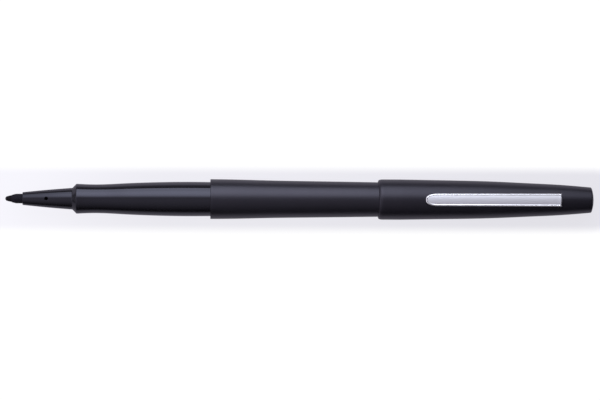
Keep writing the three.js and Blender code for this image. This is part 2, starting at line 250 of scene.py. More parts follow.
def addRamp(tree, value, stops, interpolation="LINEAR"):
    # the first and last stop are there from the start, and the others go between them
    node = tree.nodes.new("ShaderNodeValToRGB")
    node.color_ramp.interpolation = interpolation
    ramp = node.color_ramp.elements
    ramp[0].position, ramp[0].color = stops[0]
    ramp[1].position, ramp[1].color = stops[-1]
    for position, color in stops[1:-1]:
        ramp.new(position).color = color
    tree.links.new(value, node.inputs["Fac"])
    return node.outputs["Color"]


def addSplit(tree, source, output):
    # the x, y and z of a place or a direction
    split = tree.nodes.new("ShaderNodeSeparateXYZ")
    tree.links.new(tree.nodes.new(source).outputs[output], split.inputs["Vector"])
    return split.outputs


def addNoise(tree, vector, scale, detail, roughness=0.5):
    node = tree.nodes.new("ShaderNodeTexNoise")
    settings = {"Vector": vector, "Scale": scale, "Detail": detail, "Roughness": roughness}
    for label, value in settings.items():
        feed(tree, node.inputs[label], value)
    return node.outputs[0]


def addStretch(tree, scale):
    coordinates = tree.nodes.new("ShaderNodeTexCoord")
    mapping = tree.nodes.new("ShaderNodeMapping")
    mapping.inputs["Scale"].default_value = scale
    tree.links.new(coordinates.outputs["Object"], mapping.inputs["Vector"])
    return mapping.outputs["Vector"]


patchesPerMetre, patchShade = 160, 0.35
streakStretch = (0.02, 1, 1)  # the pattern's scale, small along the pen


def buildMouldedGroup():
    # moulded plastic: a fine even grain, and broad faint patches where it has been handled
    tree, entry, leave = newGroup(
        "mouldedSurface",
        [("Color", "NodeSocketColor", (0.01, 0.01, 0.012, 1)), ("Roughness", "NodeSocketFloat", 0.4),
         ("Grains per Metre", "NodeSocketFloat", 9000), ("Handling", "NodeSocketFloat", 0.05)],
        [("Color", "NodeSocketColor"), ("Roughness", "NodeSocketFloat"), ("Grain", "NodeSocketFloat")],
    )
    place = addStretch(tree, (1, 1, 1))
    grain = addNoise(tree, place, entry.outputs["Grains per Metre"], 2)
    patches = addNoise(tree, place, patchesPerMetre, 3)
    swing = addMath(tree, "SUBTRACT", patches, 0.5)
    shift = addMath(tree, "MULTIPLY", swing, entry.outputs["Handling"])
    tree.links.new(addMath(tree, "ADD", entry.outputs["Roughness"], shift), leave.inputs["Roughness"])
    shade = addMix(tree, "RGBA", patchShade, entry.outputs["Color"], patches)
    shade.blend_type = "MULTIPLY"
    tree.links.new(shade.outputs["Result"], leave.inputs["Color"])
    tree.links.new(grain, leave.inputs["Grain"])
    return tree


def buildStreakGroup():
    # rolled metal or drawn fibre: fine streaks that run along the pen
    tree, entry, leave = newGroup(
        "lengthwiseStreaks",
        [("Color", "NodeSocketColor", (0.6, 0.6, 0.62, 1)),
         ("Dark Color", "NodeSocketColor", (0.4, 0.4, 0.42, 1)), ("Roughness", "NodeSocketFloat", 0.3),
         ("Roughness Swing", "NodeSocketFloat", 0.1), ("Streaks per Metre", "NodeSocketFloat", 9000)],
        [("Color", "NodeSocketColor"), ("Roughness", "NodeSocketFloat"), ("Streak", "NodeSocketFloat")],
    )
    place = addStretch(tree, streakStretch)
    streak = addNoise(tree, place, entry.outputs["Streaks per Metre"], 3, 0.6)
    swing = addMath(tree, "SUBTRACT", streak, 0.5)
    shift = addMath(tree, "MULTIPLY", swing, entry.outputs["Roughness Swing"])
    tree.links.new(addMath(tree, "ADD", entry.outputs["Roughness"], shift), leave.inputs["Roughness"])
    tint = addMix(tree, "RGBA", streak, entry.outputs["Dark Color"], entry.outputs["Color"])
    tree.links.new(tint.outputs["Result"], leave.inputs["Color"])
    tree.links.new(streak, leave.inputs["Streak"])
    return tree


mouldedGroup = buildMouldedGroup()
streakGroup = buildStreakGroup()


def newMaterial(name):
    material = bpy.data.materials.new(name)
    material.use_nodes = True
    return material, material.node_tree


def finishWith(name, group, values, height, depth, sockets):
    # one material: the group's colour, roughness and height go to the shader, and what is the same all
    # over the surface is set on the shader itself
    material, tree = newMaterial(name)
    shader = tree.nodes["Principled BSDF"]
    effect = tree.nodes.new("ShaderNodeGroup")
    effect.node_tree = group
    for label, value in values.items():
        effect.inputs[label].default_value = value
    tree.links.new(effect.outputs["Color"], shader.inputs["Base Color"])
    tree.links.new(effect.outputs["Roughness"], shader.inputs["Roughness"])
    bump = tree.nodes.new("ShaderNodeBump")
    bump.inputs["Strength"].default_value = 1
    bump.inputs["Distance"].default_value = depth * mm
    tree.links.new(effect.outputs[height], bump.inputs["Height"])
    tree.links.new(bump.outputs["Normal"], shader.inputs["Normal"])
    for label, value in sockets.items():
        shader.inputs[label].default_value = value
    return material


def polishWhereMarked(material, roughness, color):
    # the roughness and the colour go to these where the mesh's polish attribute is 1
    tree = material.node_tree
    shader = tree.nodes["Principled BSDF"]
    mark = tree.nodes.new("ShaderNodeAttribute")
    mark.attribute_name = "polish"
    for label, kind, value in (("Roughness", "FLOAT", roughness), ("Base Color", "RGBA", color)):
        elsewhere = shader.inputs[label].links[0].from_socket
        blend = addMix(tree, kind, mark.outputs["Fac"], elsewhere, value)
        tree.links.new(blend.outputs["Result"], shader.inputs[label])


blackPlastic = {"IOR": 1.5, "Specular Tint": (0.82, 0.81, 1, 1)}
satinTint = (0.87, 0.83, 1, 1)

glossPlastic = finishWith(
    "glossPlastic", mouldedGroup,
    {"Color": (0.0076, 0.0071, 0.009, 1), "Roughness": 0.07, "Grains per Metre": 1500, "Handling": 0.03},
    "Grain", 0.0004, blackPlastic,
)
satinPlastic = finishWith(
    "satinPlastic", mouldedGroup,
    {"Color": (0.0089, 0.0084, 0.0119, 1), "Roughness": 0.35, "Grains per Metre": 6000, "Handling": 0.08},
    "Grain", 0.004, {"IOR": 1.535, "Specular Tint": satinTint},
)
capPlastic = finishWith(
    "capPlastic", mouldedGroup,
    {"Color": (0.0074, 0.0067, 0.01, 1), "Roughness": 0.35, "Grains per Metre": 6000, "Handling": 0.08},
    "Grain", 0.004, {"IOR": 1.505, "Specular Tint": satinTint},
)
guardPlastic = finishWith(
    "guardPlastic", mouldedGroup,
    {"Color": (0.0128, 0.0113, 0.016, 1), "Roughness": 0.75, "Grains per Metre": 8000, "Handling": 0.1},
    "Grain", 0.006, {"IOR": 1.48, "Specular IOR Level": 0.2, "Specular Tint": (0.82, 0.81, 1, 1)},
)
linerPlastic = finishWith(
    "linerPlastic", mouldedGroup,
    {"Color": (0.022, 0.022, 0.025, 1), "Roughness": 0.45, "Grains per Metre": 5000, "Handling": 0.08},
    "Grain", 0.005, {"IOR": 1.5},
)
nibFibre = finishWith(
    "nibFibre", streakGroup,
    {"Color": (0.012, 0.0092, 0.0125, 1), "Dark Color": (0.0036, 0.0026, 0.0038, 1), "Roughness": 0.85,
     "Roughness Swing": 0.2, "Streaks per Metre": 14000},
    "Streak", 0.02, {"IOR": 1.45, "Specular IOR Level": 0.2},
)
reservoirFibre = finishWith(
    "reservoirFibre", streakGroup,
    {"Color": (0.02, 0.02, 0.026, 1), "Dark Color": (0.006, 0.006, 0.008, 1), "Roughness": 0.9,
     "Roughness Swing": 0.15, "Streaks per Metre": 6000},
    "Streak", 0.05, {"IOR": 1.45, "Sheen Weight": 0.1},
)
clipSteel = finishWith(
    "clipSteel", streakGroup,
    {"Color": (0.9, 0.905, 0.94, 1), "Dark Color": (0.84, 0.845, 0.88, 1), "Roughness": 0.4,
     "Roughness Swing": 0.08, "Streaks per Metre": 9000},
    "Streak", 0.0002, {"Metallic": 1},
)
polishWhereMarked(clipSteel, 0.22, (0.97, 0.97, 0.985, 1))
reservoirFilm = finishWith(
    "reservoirFilm", mouldedGroup,
    {"Color": (0.75, 0.77, 0.8, 1), "Roughness": 0.22, "Grains per Metre": 900, "Handling": 0.1},
    "Grain", 0.01, {"IOR": 1.5, "Alpha": 0.45},
)
print("materials made:", len(bpy.data.materials))


# Nib: a rod of bonded fibre, its point ground to a cone and worn round
nibShape = {
    "radius": 0.87, "tipRounding": 0.66, "pointLength": 1.4, "shoulder": 0.35, "rearChamfer": 0.12,
    "ballPoints": 14, "around": 96,
}


def makeNib():
    # the ball at the tip ends where a line from the point's foot touches it, at the angle
    # atan2(radius, reach) + acos(ball / hypot(reach, radius)) from the pen's line
    s = nibShape
    front, rear = starts("nib"), ends("nib")
    reach = s["pointLength"] - s["tipRounding"]
    tangent = math.atan2(s["radius"], reach) + math.acos(s["tipRounding"] / math.hypot(reach, s["radius"]))
    angle = np.linspace(math.pi, tangent, s["ballPoints"])
    ball = np.stack([np.cos(angle), np.sin(angle)], axis=-1) * s["tipRounding"]
    ball[:, 0] += front + s["tipRounding"]
    ball[0, 1] = 0
    rod = softened([
        [*ball[-1], 0],
        [front + s["pointLength"], s["radius"], s["shoulder"]],
        [rear, s["radius"], s["rearChamfer"]],
        [rear, 0, 0],
    ])
    profile = np.vstack([ball, rod[1:]])
    piece = meshPiece("nibRod", [turned(profile, roundTheAxis(s["around"]))], nibFibre)
    standFor(piece, "nib", "pen")


# Point guard: the sleeve round the nib, bevelled down to it at the front
guardShape = {
    "bore": 0.9, "lipWall": 0.05, "wall": 0.39, "bevelLength": 1.2, "edge": 0.06, "boreEdge": 0.015,
    "lipEdge": 0.02, "shoulder": 0.3, "around": 96,
}


def makeGuard():
    s = guardShape
    front, rear = starts("point_guard"), ends("point_guard")
    bore, outside = s["bore"], s["bore"] + s["wall"]
    profile = softened([
        [(front + rear) / 2, bore, 0],
        [front, bore, s["boreEdge"]],
        [front, bore + s["lipWall"], s["lipEdge"]],
        [front + s["bevelLength"], outside, s["shoulder"]],
        [rear, outside, s["edge"]],
        [rear, bore, s["edge"]],
        [(front + rear) / 2, bore, 0],
    ])
    piece = meshPiece("nibGuard", [turned(profile, roundTheAxis(s["around"]))], guardPlastic)
    standFor(piece, "point_guard", "pen")


# Front section: nose with its vent hole, chamfer, waisted grip and the spigot inside the barrel
frontShape = {
    "seat": 1.33, "channel": 1.2, "guardTail": 5.43,
    "noseLength": 13.37, "noseRadii": (1.72, 2.39, 2.92), "noseEdge": 0.14,
    "chamferLength": 1.1, "chamferFoot": 0.12, "chamferEdge": 0.16,
    "gripLength": 36, "gripShares": (0, 0.04, 0.136, 0.24, 0.361, 0.583, 0.811, 1),
    "gripRadii": (4.04, 3.965, 3.866, 3.955, 4.19, 4.5, 4.64, 4.61),
    "spigotRadius": 4.225, "spigotLength": 8, "beadHeight": 0.12, "beadLength": 0.8, "beadFromEnd": 2.2,
    "core": 3.4, "coreFromNib": 33.2, "coreEdge": 0.15, "channelEnd": 1, "stopGap": 0.05, "seatRim": 0.1,
    "ledgeEdge": 0.05, "edge": 0.1, "nosePoints": 90, "gripPoints": 130,
}
ventShape = {
    "fromNoseFront": 6.43, "halfLength": 0.47, "halfWidth": 0.47, "squareness": 2, "margin": 0.5,
    "edge": 0.07, "innerEdge": 0.02, "across": 14, "along": 14, "around": 146, "rings": 6,
}
ridgeFoot, ridgeTop = 0.1, 0.12  # how far the snap ridge's corners are cut back


def snapRidge(rear, radius, s):
    middle = rear - s["beadLength"] / 2
    return [
        [rear - s["beadLength"], radius, ridgeFoot],
        [middle, radius + s["beadHeight"], ridgeTop],
        [rear, radius, ridgeFoot],
    ]


def makeFrontSection():
    # turned lines joined end to end; the nose's outside and the ink channel are pierced by the vent
    s, v = frontShape, ventShape
    nose = starts("front_section")
    noseRear = nose + s["noseLength"]
    gripFront = noseRear + s["chamferLength"]
    ledge = gripFront + s["gripLength"]
    first, middle, last = s["noseRadii"]
    noseX = np.linspace(nose + s["noseEdge"], noseRear - s["chamferFoot"], s["nosePoints"])
    noseStations = [[nose, first], [(nose + noseRear) / 2, middle], [noseRear, last]]
    noseLine = np.stack([noseX, smoothRadius(noseStations, noseX)], axis=-1)
    frontFace = softened([
        [nose, s["seat"], 0],
        [nose, first, s["noseEdge"]],
        [*noseLine[0], 0],
    ])
    stationX = gripFront + np.array(s["gripShares"]) * s["gripLength"]
    gripStations = np.stack([stationX, s["gripRadii"]], axis=-1)
    gripX = np.linspace(gripFront + s["chamferEdge"], ledge, s["gripPoints"])
    gripLine = np.stack([gripX, smoothRadius(gripStations, gripX)], axis=-1)
    chamfer = softened([
        [*noseLine[-1], 0],
        [noseRear, last, s["chamferFoot"]],
        [gripFront, s["gripRadii"][0], s["chamferEdge"]],
        [*gripLine[0], 0],
    ])
    spigotRear = ledge + s["spigotLength"]
    coreFront = starts("nib") + s["coreFromNib"]
    channelEnd = coreFront - s["channelEnd"]
    guardStop = nose + s["guardTail"]
    inside = softened([
        [ledge, s["gripRadii"][-1], 0],
        [ledge, s["spigotRadius"], s["ledgeEdge"]],
        *snapRidge(spigotRear - s["beadFromEnd"], s["spigotRadius"], s),
        [spigotRear, s["spigotRadius"], s["edge"]],
        [spigotRear, s["core"], s["edge"]],
        [coreFront, s["core"], s["coreEdge"]],
        [coreFront, s["channel"], s["edge"]],
        [channelEnd, s["channel"], 0],
    ])
    channel = np.array([[guardStop + s["stopGap"], s["channel"]], [channelEnd, s["channel"]]])
    guardSocket = softened([
        [guardStop + s["stopGap"], s["channel"], 0],
        [guardStop, s["channel"], 0],
        [guardStop, s["seat"], 0],
        [nose + s["seatRim"], s["seat"], 0],
        [nose, s["seat"], 0],
    ])
    grids, angles = pierced(noseLine, channel, {**v, "x": nose + v["fromNoseFront"]})
    for part in (frontFace, chamfer, gripLine, inside, guardSocket):
        grids.append(turned(part, angles))
    piece = meshPiece("noseAndGrip", grids, glossPlastic)
    standFor(piece, "front_section", "pen")


# Barrel: a tapering tube, square and crisp where it meets the grip
barrelShape = {
    "shares": (0, 0.074, 0.178, 0.333, 0.555, 1), "radii": (5.375, 5.305, 5.11, 4.91, 4.665, 4.15),
    "edge": 0.1, "wall": 0.75, "socket": 4.275, "socketLength": 8.27, "beadHeight": 0.12,
    "beadLength": 0.8, "beadFromEnd": 2.2, "spigotLength": 7.97, "boreLead": 2,
    "outsidePoints": 150, "borePoints": 60, "around": 160,
}


def makeBarrel():
    s = barrelShape
    front, rear = starts("barrel"), ends("barrel")
    stations = np.stack([front + np.array(s["shares"]) * (rear - front), s["radii"]], axis=-1)
    x = np.linspace(front + s["edge"], rear - s["edge"], s["outsidePoints"])
    outside = np.stack([x, smoothRadius(stations, x)], axis=-1)
    innerX = np.linspace(front + s["socketLength"] + s["boreLead"], rear, s["borePoints"])
    bore = np.stack([innerX, smoothRadius(stations, innerX) - s["wall"]], axis=-1)
    frontFace = softened([
        [front, s["socket"], 0],
        [front, s["radii"][0], s["edge"]],
        [*outside[0], 0],
    ])
    rearFace = softened([
        [*outside[-1], 0],
        [rear, s["radii"][-1], s["edge"]],
        [rear, s["radii"][-1] - s["wall"], 0],
    ])
    ridge = snapRidge(front + s["spigotLength"] - s["beadFromEnd"], s["socket"], s)
    socket = softened([
        [*bore[0], 0],
        [front + s["socketLength"], s["socket"], s["edge"]],
        *ridge[::-1],
        [front, s["socket"], 0],
    ])
    parts = (frontFace, outside, rearFace, bore[::-1], socket)
    angles = roundTheAxis(s["around"])
    piece = meshPiece("barrelTube", [turned(part, angles) for part in parts], satinPlastic)
    standFor(piece, "barrel", "pen")


# Ink reservoir: the fibre core, its film sleeve with a lapped seam, and the plug behind them
coreShape = {"radius": 3.12, "nibBore": 0.9, "nibDepth": 6.53, "edge": 0.2, "boreEdge": 0.05, "around": 72}
filmShape = {"inside": 3.15, "thickness": 0.07, "seamAngle": 24, "lapGap": 0.01, "rows": 3, "around": 120}
plugShape = {
    "stem": 3.35, "head": 4.03, "headLength": 0.6, "dome": 0.25, "domeFrom": 0.12, "wall": 0.8,
    "edge": 0.1, "cupEdge": 0.3, "stemEdge": 0.3, "headFoot": 0.05, "domePoints": 16, "around": 96,
}


def makeReservoir():
    s = coreShape
    front, rear = starts("ink_reservoir"), ends("ink_reservoir")
    profile = softened([
        [front + s["nibDepth"], 0, 0],
        [front + s["nibDepth"], s["nibBore"], s["boreEdge"]],
        [front, s["nibBore"], s["edge"]],
        [front, s["radius"], s["edge"]],
        [rear, s["radius"], s["edge"]],
        [rear, 0, 0],
    ])
    piece = meshPiece("inkCore", [turned(profile, roundTheAxis(s["around"]))], reservoirFibre)
    standFor(piece, "ink_reservoir", "pen")


def makeFilm():
    # a sheet rolled round the core: the radius grows by the film's own thickness over one turn, and
    # the end laps over the start
    s = filmShape
    front, rear = starts("reservoir_wrap"), ends("reservoir_wrap")
    lap = math.radians(s["seamAngle"])
    turn = np.linspace(0, 2 * math.pi + lap, s["around"] + 1)
    growth = s["inside"] + (s["thickness"] + s["lapGap"]) * turn / (2 * math.pi + lap)
    x = np.linspace(front, rear, s["rows"])
    loopRadius = np.concatenate([growth, growth[::-1] + s["thickness"], growth[:1]])
    loopAngle = np.concatenate([turn, turn[::-1], turn[:1]]) + math.pi
    across = np.stack([loopRadius * np.sin(loopAngle), loopRadius * np.cos(loopAngle)], axis=-1)
    sheet = np.concatenate([
        np.broadcast_to(x[:, None, None], (len(x), len(loopAngle), 1)),
        np.broadcast_to(across[None], (len(x), len(loopAngle), 2)),
    ], axis=-1)
    count = len(growth)
    edges = [np.stack([row[:count], row[count:2 * count][::-1]]) for row in (sheet[0], sheet[-1])]
    piece = meshPiece("coreFilm", [sheet, *edges], reservoirFilm)
    standFor(piece, "reservoir_wrap", "pen")


def makePlug():
    # a turned cup whose closed end bulges as a quarter ellipse, (dome sin a, head cos a)
    s = plugShape
    front, rear = starts("end_plug"), ends("end_plug")
    headRear = rear - s["dome"]
    headFront = headRear - s["headLength"]
    angle = np.linspace(s["domeFrom"], math.pi / 2, s["domePoints"])
    dome = np.stack([headRear + s["dome"] * np.sin(angle), s["head"] * np.cos(angle)], axis=-1)
    dome[-1, 1] = 0
    body = softened([
        [headRear - s["wall"], 0, 0],
        [headRear - s["wall"], s["stem"] - s["wall"], s["cupEdge"]],
        [front, s["stem"] - s["wall"], s["edge"]],
        [front, s["stem"], s["stemEdge"]],
        [headFront, s["stem"], s["headFoot"]],
        [headFront, s["head"], s["edge"]],
        [headRear, s["head"], s["edge"]],
        [*dome[0], 0],
    ])
    profile = np.vstack([body, dome[1:]])
    piece = meshPiece("barrelPlug", [turned(profile, roundTheAxis(s["around"]))], satinPlastic)
    standFor(piece, "end_plug", "pen")


for make in (makeNib, makeGuard, makeFrontSection, makeBarrel, makeReservoir, makeFilm, makePlug):
    make()


# Cap: its places count from the mouth
capShape = {
    "radius": 5.44, "mouthBore": 4.71, "lipLength": 1.15, "lipDepth": 0.38, "leadIn": 0.15, "band": 6,
    "depths": (6, 18.96, 30.45, 41.77, 49.17, 57.45), "radii": (5.44, 5.245, 4.99, 4.49, 4.127, 3.466),
    "length": 58.35, "fillet": 0.42, "filletTurn": 72, "domePower": 2.2, "parallelBore": 10,
    "postedDepth": 36.62, "wall": 0.7, "postedBore": 4.2, "neckFront": 44.77, "neckRear": 50.12,
    "socket": 2.586, "boreEnd": 56.4, "mouthEdge": 0.06, "socketEdge": 0.1, "floorEdge": 0.2,
    "bandPoints": 12, "taperPoints": 170, "lipPoints": 12, "filletPoints": 9, "domePoints": 24,
    "neckPoints": 30,
}
slotShape = {
    "front": 48.47, "rearGap": 0.14, "halfWidth": 1.88, "margin": 0.6, "squareness": 12, "edge": 0.06,
    "innerEdge": 0.04, "across": 24, "along": 16, "around": 128, "rings": 5,
}


def makeCapShell():
    # the lip is a quarter ellipse, the closed end a part of a circle and then, for r from 1 to 0,
    # (rise (1 - r^power), radius r). The outside and the neck's bore are pierced by the clip's slot
    s, h = capShape, slotShape
    mouth = starts("cap_shell")
    stations = np.stack([s["depths"], s["radii"]], axis=-1)
    bandDepth = np.linspace(s["lipLength"], s["band"], s["bandPoints"])
    taperDepth = np.linspace(s["band"], s["depths"][-1], s["taperPoints"])
    depth = np.concatenate([bandDepth[:-1], taperDepth])
    radius = np.where(depth < s["band"], s["radius"], smoothRadius(stations, depth))
    outside = np.stack([depth, radius], axis=-1)
    turn = np.linspace(math.pi / 2, 0, s["lipPoints"])
    lip = np.stack([
        s["lipLength"] * (1 - np.sin(turn)),
        s["radius"] - s["lipDepth"] * (1 - np.cos(turn)),
    ], axis=-1)
    turn = np.linspace(0, math.radians(s["filletTurn"]), s["filletPoints"])[1:]
    fillet = np.stack([
        s["depths"][-1] + s["fillet"] * np.sin(turn),
        s["radii"][-1] - s["fillet"] * (1 - np.cos(turn)),
    ], axis=-1)
    rise = s["length"] - fillet[-1, 0]
    across = np.linspace(1, 0, s["domePoints"])[1:]
    dome = np.stack([
        fillet[-1, 0] + rise * (1 - across ** s["domePower"]),
        fillet[-1, 1] * across,
    ], axis=-1)
    end = np.vstack([outside[-1:], fillet, dome])
    neckDepth = np.linspace(s["neckFront"], s["neckRear"], s["neckPoints"])
    neck = np.stack([neckDepth, smoothRadius(stations, neckDepth) - s["wall"]], axis=-1)
    mouthLine = softened([
        [*lip[0], 0],
        [0, s["mouthBore"] + s["leadIn"], s["mouthEdge"]],
        [s["leadIn"], s["mouthBore"], s["mouthEdge"]],
        [s["parallelBore"], s["mouthBore"], 0],
        [s["postedDepth"], s["postedBore"], 0],
        [*neck[0], 0],
    ])
    floorLine = softened([
        [*neck[-1], 0],
        [s["neckRear"] + neck[-1, 1] - s["socket"], s["socket"], s["socketEdge"]],
        [s["boreEnd"], s["socket"], s["floorEdge"]],
        [s["boreEnd"], 0, 0],
    ])
    slotRear = ends("clip") - mouth + h["rearGap"]
    hole = {
        **h, "x": mouth + (h["front"] + slotRear) / 2, "halfLength": (slotRear - h["front"]) / 2,
    }
    place = np.array([mouth, 0])
    grids, angles = pierced(outside + place, neck + place, hole)
    for part in (lip, end, mouthLine, floorLine):
        grids.append(turned(part + place, angles))
    piece = meshPiece("capShell", grids, capPlastic)
    standFor(piece, "cap_shell", "cap")


# Inner cap: a thin cup that closes round the nose
linerShape = {
    "mouth": 3.15, "wall": 0.35, "tailBore": 2.186, "neckFront": 44.77, "neckRear": 46.77,
    "endWall": 0.5, "edge": 0.12, "neckEdge": 0.4, "floorEdge": 0.3, "around": 96,
}


def makeInnerCap():
    s = linerShape
    mouth, rim, rear = starts("cap_shell"), starts("inner_cap"), ends("inner_cap")
    neckFront, neckRear = mouth + s["neckFront"], mouth + s["neckRear"]
    profile = softened([
        [rear, 0, 0],
        [rear, s["tailBore"] + s["wall"], s["edge"]],
        [neckRear, s["tailBore"] + s["wall"], s["neckEdge"]],
        [neckFront, s["mouth"] + s["wall"], s["neckEdge"]],
        [rim, s["mouth"] + s["wall"], s["edge"]],
        [rim, s["mouth"], s["edge"]],
        [neckFront, s["mouth"], s["neckEdge"]],
        [neckRear, s["tailBore"], s["neckEdge"]],
        [rear - s["endWall"], s["tailBore"], s["floorEdge"]],
        [rear - s["endWall"], 0, 0],
    ])
    piece = meshPiece("innerCap", [turned(profile, roundTheAxis(s["around"]))], linerPlastic)
    standFor(piece, "inner_cap", "cap")


# Clip: one steel strip with a bullet nose and a bead coined along its edges, bent down and hooked at
# its root
clipShape = {
    "thickness": 0.5, "tipHalfWidth": 1.675, "rootHalfWidth": 1.73, "footHalfWidth": 1.2,
    "noseLength": 2.95, "noseBluntness": 3.2, "noseTaper": 1.5,
    "beadRadius": 0.28, "beadSlope": 30, "beadFillet": 0.08, "beadAtTip": 0.9, "beadAtRoot": 0.35,
    "bottomEdge": 0.05, "crown": 0.065, "bend": 0.4, "bendSquareness": 7,
    "slope": 0.0224, "rootHeight": 4.9768, "footBottom": 2.6364, "footLength": 1.9,
    "bumpFromTip": 3.4, "bumpRadius": 1.0, "bumpHeight": 0.33,
    "narrowFrom": 1.0, "narrowOver": 0.4,  # where the leg narrows to the foot, past the first bend
    "fadeFrom": 0.1, "fadeOver": 0.6,  # where the bead fades, as shares of the first bend
    "endInset": 0.05, "sharpAbove": 24, "facePoints": 25, "hollowPoints": 5, "beadPoints": 14,
    "underPoints": 4, "nosePoints": 49, "runPoints": (60, 33, 12, 11),
}


def stripPlace(s, along, tip, legRear):
    # middle line of the strip against the length along it: straight, a bend, the leg, a bend, the foot;
    # gives x, height, the outward normal and the four lengths where these meet
    half, bend, slope = s["thickness"] / 2, s["bend"], s["slope"]
    centreX = legRear - half - bend
    rootZ = s["rootHeight"] + half - bend
    footZ = s["footBottom"] + half + bend
    bendX, bendZ = centreX + bend * math.sin(slope), rootZ + bend * math.cos(slope)
    straight = (bendX - tip) / math.cos(slope)
    firstArc, leg = bend * (math.pi / 2 - slope), rootZ - footZ
    secondArc = bend * math.pi / 2
    stops = np.cumsum([straight, firstArc, leg, secondArc])
    turned1 = slope + np.clip((along - stops[0]) / bend, 0, math.pi / 2 - slope)
    turned2 = np.clip((along - stops[2]) / bend, 0, math.pi / 2)
    facing = turned1 + turned2  # from straight up, turning over towards +X and then down
    x = np.where(along < stops[0], tip + along * math.cos(slope), centreX + bend * np.sin(turned1))
    z = np.where(along < stops[0], bendZ + (straight - along) * math.sin(slope),
                 rootZ + bend * np.cos(turned1))
    z = z - np.clip(along - stops[1], 0, leg)
    z = z - bend * np.sin(turned2)
    x = x - bend * (1 - np.cos(turned2)) - np.maximum(along - stops[3], 0)
    return x, z, np.sin(facing), np.cos(facing), stops


def edgeOfStrip(s):
    # the strip's edge from its face round to its underside, as (distance in from the outline, height
    # over the middle line): a hollow up to the bead, the bead's quarter and more, the side, an arc below
    half, bead, hollow = s["thickness"] / 2, s["beadRadius"], s["beadFillet"]
    slope = math.radians(s["beadSlope"])
    rise = np.linspace(0, slope, s["hollowPoints"])[:-1]
    over = np.linspace(-slope, math.pi / 2, s["beadPoints"])
    under = np.linspace(0, math.pi / 2, s["underPoints"])
    reach, drop = (bead + hollow) * math.sin(slope), (bead + hollow) * (1 - math.cos(slope))
    inset = np.concatenate([
        bead + reach - hollow * np.sin(rise),
        bead * (1 - np.sin(over)),
        s["bottomEdge"] * (1 - np.cos(under)),
    ])
    height = np.concatenate([
        half - drop + hollow * (1 - np.cos(rise)),
        half - bead * (1 - np.cos(over)),
        s["bottomEdge"] * (1 - np.sin(under)) - half,
    ])
    return inset, height


def eased(t):
    # 0 up to t = 0, 1 from t = 1, and t^2 (3 - 2t) between
    t = np.clip(t, 0, 1)
    return t**2 * (3 - 2 * t)


def makeClip():
    # the flat strip is a grid of (place along the outline, place round the section); the outline of the
    # nose is (1 - s/L)^p + (y/W)^q = 1, each ring of the section is that outline drawn in by its own
    # inset, and the strip is then laid along its bent middle line. The first bend is squared off on the
    # outside: its radius is divided by (|cos|^n + |sin|^n)^(1/n)
    s = clipShape
    tip, legRear = starts("clip"), ends("clip")
    half = s["thickness"] / 2
    stops = stripPlace(s, np.zeros(1), tip, legRear)[4]
    total = stops[3] + s["footLength"] - s["bend"] - half
    insets, heights = edgeOfStrip(s)
    face = np.linspace(-1, 1, s["facePoints"])
    over, under, side = face[:-1], face[::-1][1:-1], np.ones(len(insets))
    inset = [np.full(len(over), insets[0]), insets, np.full(len(under), insets[-1]), insets[::-1]]
    height = [np.full(len(over), heights[0]), heights, np.full(len(under), -half), heights[::-1]]
    share = [over, side, under, -side]
    inset, height, share = (np.concatenate([*part, part[0][:1]]) for part in (inset, height, share))

    t = np.linspace(0, 1, s["nosePoints"])[:, None]
    widthShare = np.sin(t * math.pi / 2)
    lengthShare = 1 - (1 - widthShare ** s["noseBluntness"]) ** (1 / s["noseTaper"])
    endIn = inset * s["beadAtTip"]
    noseAlong = endIn + lengthShare * (s["noseLength"] - endIn)
    noseAcross = widthShare * (s["tipHalfWidth"] - inset) * share
    marks = [s["noseLength"], *stops]
    runs = [np.linspace(a, b, n)[1:] for a, b, n in zip(marks, stops, s["runPoints"])]
    run = np.concatenate([*runs, [total - s["endInset"], total]])[:, None]
    taper = (run - s["noseLength"]) / (stops[0] - s["noseLength"])
    wide = s["tipHalfWidth"] + (s["rootHalfWidth"] - s["tipHalfWidth"]) * np.minimum(taper, 1)
    narrowing = eased((run - stops[1] - s["narrowFrom"]) / s["narrowOver"])
    wide = wide + (s["footHalfWidth"] - wide) * narrowing
    restAlong = np.broadcast_to(run, (len(run), len(inset)))
    bent = (run - stops[0]) / (stops[1] - stops[0])
    beadShare = 1 - (1 - s["beadAtRoot"]) * eased((bent - s["fadeFrom"]) / s["fadeOver"])
    restAcross = (wide - inset * beadShare) * share
    along = np.vstack([noseAlong, restAlong])
    across = np.vstack([noseAcross, restAcross])
    crown = s["crown"] * np.maximum(1 - (across / (s["tipHalfWidth"] - insets[0])) ** 2, 0)
    rise = np.where(height > 0, crown, 0) + height
    dimple = 1 - ((along - s["bumpFromTip"]) ** 2 + across**2) / s["bumpRadius"] ** 2
    rise = rise - np.where(height <= -half, s["bumpHeight"] * np.sqrt(np.maximum(dimple, 0)), 0)
    x, z, normalX, normalZ, _ = stripPlace(s, along, tip, legRear)
    n = s["bendSquareness"]
    squared = (np.abs(normalX) ** n + np.abs(normalZ) ** n) ** (-1 / n) - 1
    rise = rise + np.where((along > stops[0]) & (along < stops[1]), (s["bend"] + rise) * squared, 0)
    grid = np.stack([x + rise * normalX, across, z + rise * normalZ], axis=-1)
    cap = np.stack([grid[-1], np.broadcast_to(grid[-1, :-1].mean(axis=0), grid[-1].shape)])
    coined = np.where((inset < insets[0]) & (height > 0), 1.0, 0.0)
    polish = [np.broadcast_to(coined, grid.shape[:2]), np.zeros(cap.shape[:2])]
    piece = meshPiece("clipStrip", [grid, cap], clipSteel, s["sharpAbove"], polish)
    standFor(piece, "clip", "clip")


for make in (makeCapShell, makeInnerCap, makeClip):
    make()


